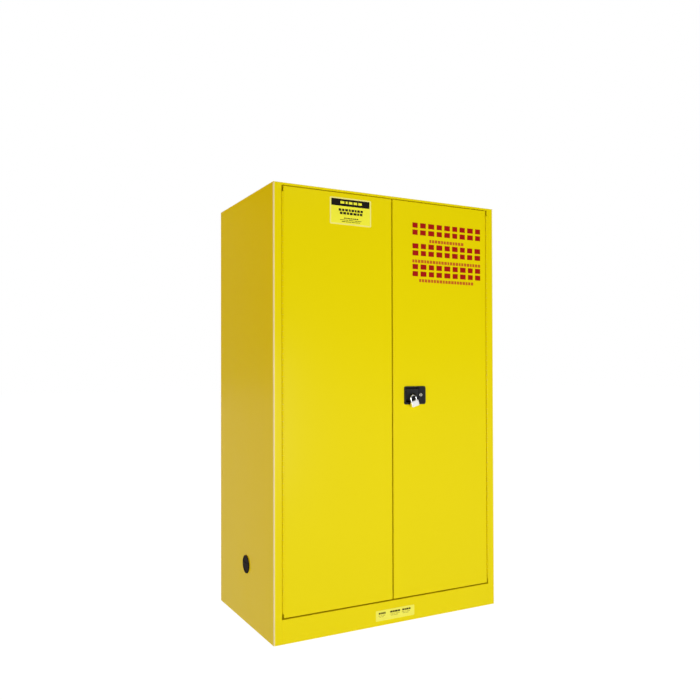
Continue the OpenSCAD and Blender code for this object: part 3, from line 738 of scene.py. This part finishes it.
# Vents
# A flanged throat through both walls on each side, with a perforated screen behind a black bung.
black_coat = coated_black("black_coated_steel", "#120805", "#1C1009", 0.5, 0.65, 1.2, 0.05)
for side in ("left", "right"):
    finished("vent_throat_" + side, yellow, 0.4 * MM)
    finished("vent_screen_" + side, galvanised, 0.15 * MM, 1)
    finished("vent_cap_" + side, black_coat, 0.8 * MM, 3)
    outward = -1 if side == "left" else 1
    low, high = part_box("vent_cap_" + side)
    middle = (low + high) / 2
    face_x = low.x if side == "left" else high.x
    rim = (high.z - low.z) / 2

    # Fine ribs round the bung's rim give the fingers a hold.
    ribs = bmesh.new()
    for n in range(60):
        angle = tau * (n + 0.5) / 60
        place = (face_x - outward * 2.7 * MM, middle.y + rim * cos(angle), middle.z + rim * sin(angle))
        disc(ribs, place, (outward, 0, 0), 0.5 * MM, 2.1 * MM, 8)
    extra(piece(ribs, "vent_cap_ribs_" + side, black_coat), "vent_cap_" + side)

    # The arrester behind the perforated disc is a square weave of fine steel wire.
    screen_low, screen_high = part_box("vent_screen_" + side)
    weave = bmesh.new()
    mesh_pitch, wire, edge = 2.2 * MM, 0.32 * MM, (screen_high.z - screen_low.z) / 2 - 1 * MM
    mesh_x = (screen_low.x if side == "left" else screen_high.x) + outward * 1.2 * MM
    count = int(edge / mesh_pitch)
    for run in (0, 1):
        for n in range(-count, count + 1):
            across = n * mesh_pitch
            reach = (edge**2 - across**2) ** 0.5
            points = int(2 * reach / mesh_pitch)
            loops = []
            for k in range(points * 2 + 1):
                along = -reach + k * reach / points
                lift = 0.5 * wire * cos(pi * (along / mesh_pitch + n + run)) * 1.2
                loop = []
                for corner in range(6):
                    turn = tau * corner / 6
                    off, rise = 0.5 * wire * cos(turn), 0.5 * wire * sin(turn) + lift
                    y, z = (along, across + off) if run else (across + off, along)
                    loop.append(weave.verts.new((mesh_x + rise, middle.y + y, middle.z + z)))
                loops.append(loop)
            for here, there in zip(loops, loops[1:]):
                for corner in range(6):
                    after = (corner + 1) % 6
                    weave.faces.new((here[corner], here[after], there[after], there[corner]))
            weave.faces.new(loops[0])
            weave.faces.new(loops[-1])
    bmesh.ops.recalc_face_normals(weave, faces=weave.faces)
    arrester = piece(weave, "flame_arrester_mesh_" + side, galvanised, smooth=70)
    extra(arrester, "vent_screen_" + side)

# Feet and grounding stud
# Threaded feet in the corners of the skirt, and a brass stud with its nuts at the back.


def threaded(mesh, start, facing, length, radius, pitch):
    """A closed bar with a rolled single-start thread."""
    depth = 0.61 * pitch
    turn_in = lambda along: min(1.0, along / pitch, (length - along) / pitch)
    ringed_bar(
        mesh,
        start,
        facing,
        length,
        24,
        round(6 * length / pitch),
        lambda along, angle: radius
        - depth * max(0.0, min(1.0, 2 * abs((along / pitch - angle / tau) % 1.0 - 0.5)))
        - depth * 0.6 * (1 - turn_in(along)),
    )


for corner in ("front_left", "front_right", "back_left", "back_right"):
    low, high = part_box("foot_" + corner)
    middle = (low + high) / 2
    foot = bmesh.new()
    disc(foot, (middle.x, middle.y, low.z), (0, 0, 1), 20 * MM, 2.4 * MM, 48)
    disc(foot, (middle.x, middle.y, low.z + 2.4 * MM), (0, 0, 1), 19 * MM, 3.6 * MM, 48, 12 * MM)
    disc(foot, (middle.x, middle.y, low.z + 6 * MM), (0, 0, 1), 17 / 2 * MM, 7 * MM, 6)
    round_edges(foot, 0.6 * MM, 2)
    threaded(foot, (middle.x, middle.y, low.z + 12.5 * MM), (0, 0, 1), high.z - low.z - 12.5 * MM, 5 * MM, 1.5 * MM)
    stand_in(piece(foot, "foot_finished_" + corner, zinc), "foot_" + corner)
brass = plated("brass", "#CBA45A", "#B48A3E", 0.22, 0.38)
finished("ground_nuts", brass, 0.5 * MM, 2)
low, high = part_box("ground_stud")
middle = (low + high) / 2
collar_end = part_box("ground_nuts")[1].y
stud = bmesh.new()
disc(stud, (middle.x, low.y, middle.z), (0, 1, 0), 5 * MM, collar_end - low.y, 32)
round_edges(stud, 0.4 * MM, 2)
thread_start = collar_end - 0.5 * MM
threaded(stud, (middle.x, thread_start, middle.z), (0, 1, 0), high.y - thread_start, 4 * MM, 1.25 * MM)
stand_in(piece(stud, "ground_stud_threaded", brass), "ground_stud")

# Floor and light
# A pale floor and a pale room. A large soft lamp lights the front, a warm one the left side, and a narrow
# strip draws the front corner. Lamps above, on the right and behind fill the faces that turn away.
floor_mesh = bmesh.new()
bmesh.ops.create_grid(floor_mesh, x_segments=1, y_segments=1, size=30.0)
floor_material, floor_tree, _ = new_material("pale_floor")
floor_shader = add(
    floor_tree,
    "BsdfPrincipled",
    {
        "Base Color": linear("#3C3C3C"),
        "Roughness": 0.9,
        "Emission Color": linear("#FFFFFF"),
        "Emission Strength": 1.0,
    },
)
finish_with(floor_tree, floor_shader)
floor = piece(floor_mesh, "floor", floor_material)

world = bpy.data.worlds.new("pale_room")
bpy.context.scene.world = world
world.use_nodes = True
world.node_tree.nodes.clear()
path = add(world.node_tree, "LightPath")
strength = add(world.node_tree, "MapRange", {"Value": path.outputs["Is Camera Ray"], "To Min": 0.03, "To Max": 1.0})
sky = add(world.node_tree, "Background", {"Color": linear("#FFFFFF"), "Strength": strength.outputs["Result"]})
add(world.node_tree, "OutputWorld", {"Surface": sky.outputs["Background"]})


def soft_lamp(name, place, aim, size, power, colour):
    """A rectangular softbox that faces a point."""
    data = bpy.data.lights.new(name, "AREA")
    data.shape = "RECTANGLE"
    data.size, data.size_y = size
    data.energy = power
    data.color = linear(colour)[:3]
    lamp = bpy.data.objects.new(name, data)
    direction = Vector(aim) - Vector(place)
    lamp.matrix_world = Matrix.Translation(place) @ direction.to_track_quat("-Z", "Y").to_matrix().to_4x4()
    bpy.context.scene.collection.objects.link(lamp)


soft_lamp("front_softbox", (0.1, -3.7, 0.5), (0.0, 0.0, 0.7), (1.6, 1.2), 52, "#FFFFFF")
soft_lamp("high_softbox", (1.6, -4.2, 3.5), (0.0, 0.0, 1.0), (2.2, 1.4), 12, "#FFFFFF")
soft_lamp("left_softbox", (-4.0, 0.2, 1.8), (0.0, 0.0, 0.8), (2.5, 2.5), 20, "#FF6414")
soft_lamp("corner_strip", (-3.2, -1.6, 1.2), (-0.4, -0.2, 0.9), (0.06, 2.8), 6, "#FFF4DC")
soft_lamp("overhead_softbox", (0.0, 0.9, 4.0), (0.0, 0.2, 0.0), (3.0, 3.0), 60, "#FFFFFF")
soft_lamp("right_softbox", (4.2, 1.0, 1.6), (0.3, 0.0, 0.8), (2.5, 2.5), 26, "#FFFFFF")
soft_lamp("rear_softbox", (0.2, 4.4, 1.7), (0.0, 0.2, 0.8), (2.8, 2.0), 30, "#FFFFFF")
